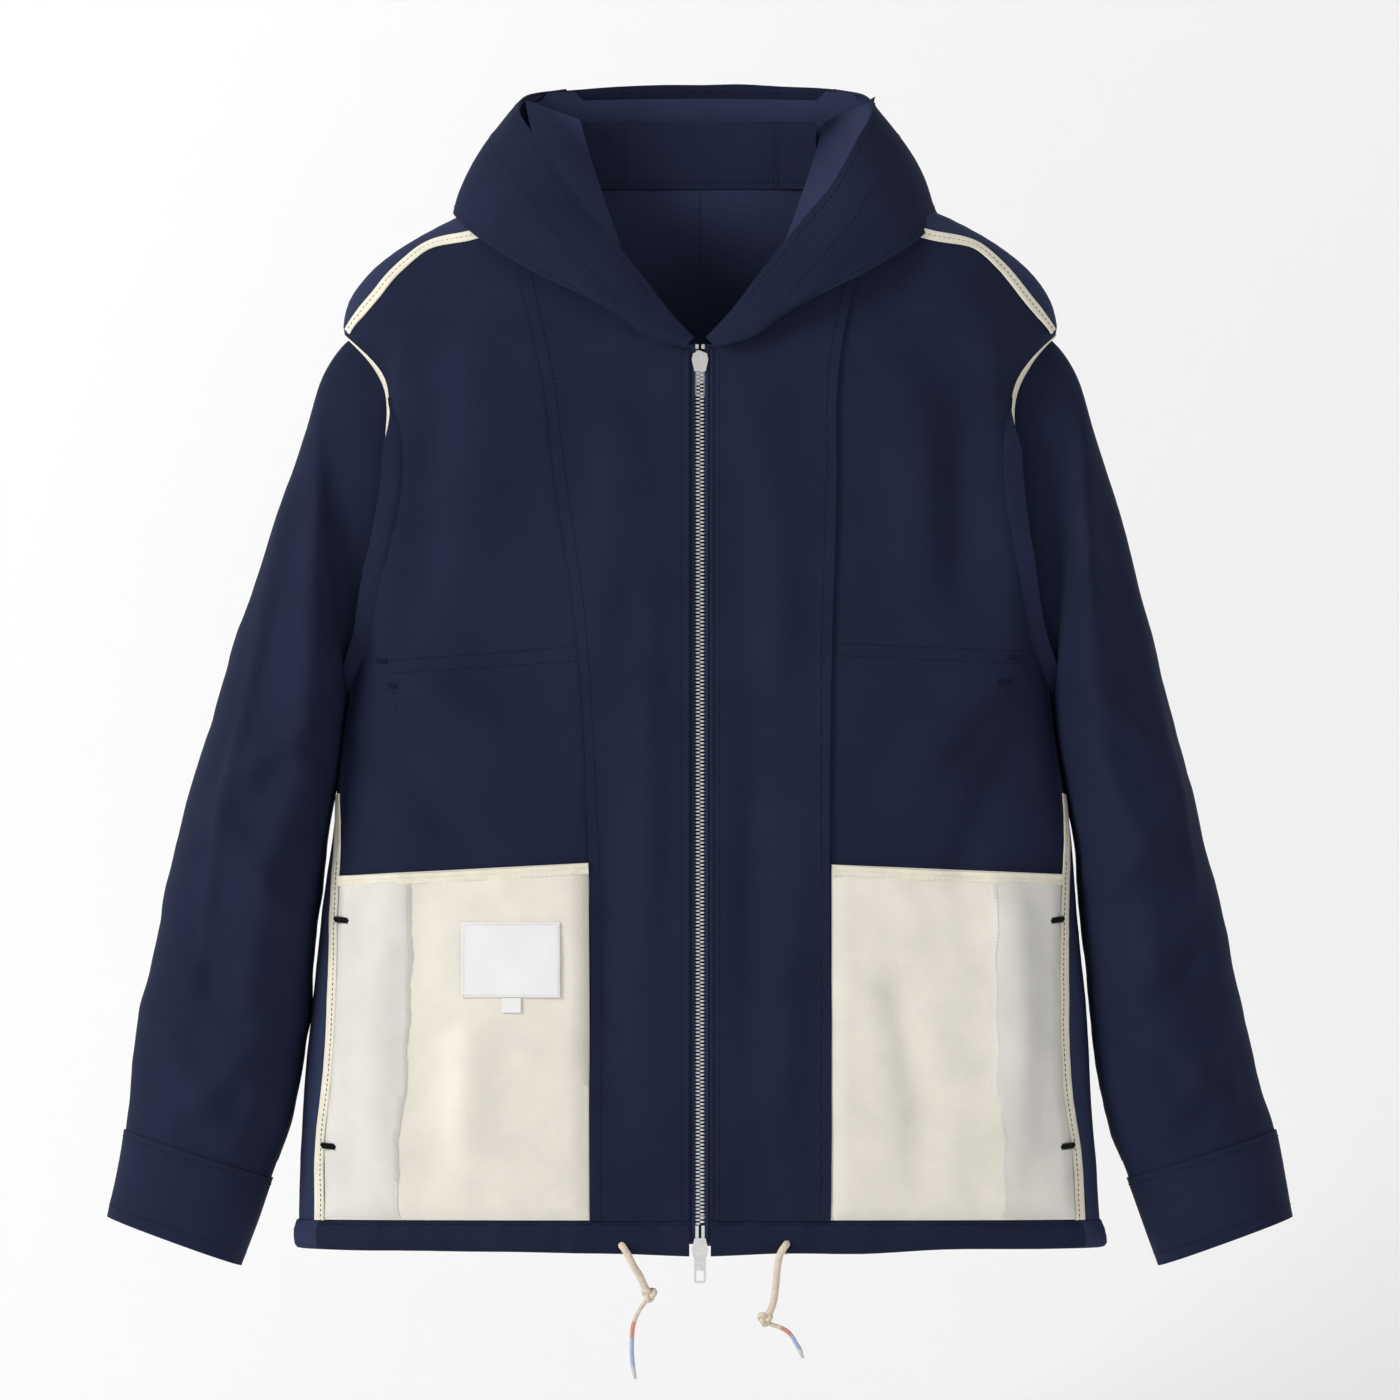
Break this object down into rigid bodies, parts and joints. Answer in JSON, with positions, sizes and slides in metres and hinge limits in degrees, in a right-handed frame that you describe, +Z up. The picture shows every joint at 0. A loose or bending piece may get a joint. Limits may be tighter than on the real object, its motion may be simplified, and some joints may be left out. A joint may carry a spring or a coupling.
{
  "type": "foul weather jacket",
  "caption": "Navy hooded foul weather jacket, zipped and hanging, with cream outside pocket bags, cream seam binding, two-way metal zip, hem drawcord and the hood down.",
  "frame": {"origin": "middle of the neck opening, where a hanger's hook or a stand's neck comes out of it", "axes": "+Z up, -Y towards the front of the jacket, +X towards the wearer's left"},
  "size_m": [0.8562, 0.1719, 0.9324],
  "materials": {
    "navy_cloth": "matt twill",
    "cream_cotton": "matt plain weave",
    "grey_cotton": "matt plain weave",
    "binding_tape": "matt herringbone tape",
    "black_thread": "thread",
    "label_cloth": "satin weave",
    "braided_cord": "braid",
    "zip_metal": "bright",
    "zip_tape": "woven tape"
  },
  "bodies": {
    "torso": {"armhole_binding_left": "binding_tape", "armhole_binding_right": "binding_tape", "back_panel": "navy_cloth", "bar_tack_lower_left": "black_thread", "bar_tack_lower_right": "black_thread", "bar_tack_upper_left": "black_thread", "bar_tack_upper_right": "black_thread", "drawcord": "braided_cord", "front_panel_left": "navy_cloth", "front_panel_right": "navy_cloth", "hem_back": "navy_cloth", "hem_front_left": "navy_cloth", "hem_front_right": "navy_cloth", "hood_facing_left": "navy_cloth", "hood_facing_right": "navy_cloth", "hood_rim_back": "navy_cloth", "hood_side_left": "navy_cloth", "hood_side_right": "navy_cloth", "hood_stand": "navy_cloth", "label": "label_cloth", "placket_left": "navy_cloth", "placket_right": "navy_cloth", "pocket_bag_left": "cream_cotton", "pocket_bag_right": "cream_cotton", "pocket_binding_left": "binding_tape", "pocket_binding_right": "binding_tape", "pocket_facing_left": "grey_cotton", "pocket_facing_right": "grey_cotton", "shoulder_binding_left": "binding_tape", "shoulder_binding_right": "binding_tape", "side_binding_left": "binding_tape", "side_binding_right": "binding_tape", "zip_insertion_pin": "zip_metal", "zip_retaining_pin": "zip_metal", "zip_tape_left": "zip_tape", "zip_tape_right": "zip_tape", "zip_teeth_left": "zip_metal", "zip_teeth_right": "zip_metal", "zip_top_stop_left": "zip_metal", "zip_top_stop_right": "zip_metal"},
    "hood": {"hood_bag_centre": "navy_cloth", "hood_bag_left": "navy_cloth", "hood_bag_right": "navy_cloth"},
    "sleeve_left_body": {"sleeve_left": "navy_cloth", "cuff_left": "navy_cloth"},
    "sleeve_right_body": {"sleeve_right": "navy_cloth", "cuff_right": "navy_cloth"},
    "top_slider_body": {"zip_top_slider": "zip_metal"},
    "top_pull_body": {"zip_top_pull": "zip_metal"},
    "bottom_slider_body": {"zip_bottom_slider": "zip_metal"},
    "bottom_pull_body": {"zip_bottom_pull": "zip_metal"},
    "cord_left_body": {"cord_end_left": "braided_cord", "cord_knot_left": "braided_cord", "cord_tail_left": "braided_cord", "cord_tip_left": "braided_cord"},
    "cord_right_body": {"cord_end_right": "braided_cord", "cord_knot_right": "braided_cord", "cord_tail_right": "braided_cord", "cord_tip_right": "braided_cord"},
    "size_tag_body": {"size_tag": "label_cloth"}
  },
  "joints": [
    {"name": "hood_lift", "type": "hinge", "parent": "torso", "child": "hood", "pos_m": [0, 0.084, 0.066], "axis": [1, 0, 0], "range_deg": [0, 75]},
    {"name": "left_sleeve_swing", "type": "hinge", "parent": "torso", "child": "sleeve_left_body", "pos_m": [0.256, 0.006, -0.084], "axis": [0, -1, 0], "range_deg": [0, 60]},
    {"name": "right_sleeve_swing", "type": "hinge", "parent": "torso", "child": "sleeve_right_body", "pos_m": [-0.256, 0.006, -0.084], "axis": [0, 1, 0], "range_deg": [0, 60]},
    {"name": "top_slider_travel", "type": "slide", "parent": "torso", "child": "top_slider_body", "axis": [0, 0.0045, -1], "range_m": [0, 0.4]},
    {"name": "bottom_slider_travel", "type": "slide", "parent": "torso", "child": "bottom_slider_body", "axis": [0, -0.0045, 1], "range_m": [0, 0.18]},
    {"name": "top_pull_swing", "type": "hinge", "parent": "top_slider_body", "child": "top_pull_body", "pos_m": [0, -0.04973, -0.1009], "axis": [1, 0, 0], "range_deg": [0, 90]},
    {"name": "bottom_pull_swing", "type": "hinge", "parent": "bottom_slider_body", "child": "bottom_pull_body", "pos_m": [0, -0.04682, -0.7399], "axis": [1, 0, 0], "range_deg": [0, 90]},
    {"name": "left_cord_swing", "type": "hinge", "parent": "torso", "child": "cord_left_body", "pos_m": [0.061, -0.0498, -0.7442], "axis": [0, 1, 0], "range_deg": [-20, 20]},
    {"name": "right_cord_swing", "type": "hinge", "parent": "torso", "child": "cord_right_body", "pos_m": [-0.053, -0.0498, -0.7442], "axis": [0, 1, 0], "range_deg": [-20, 20]},
    {"name": "size_tag_flap", "type": "hinge", "parent": "torso", "child": "size_tag_body", "pos_m": [-0.13602, -0.05763, -0.5584], "axis": [-0.9991, 0.0428, 0], "range_deg": [0, 120]}
  ]
}
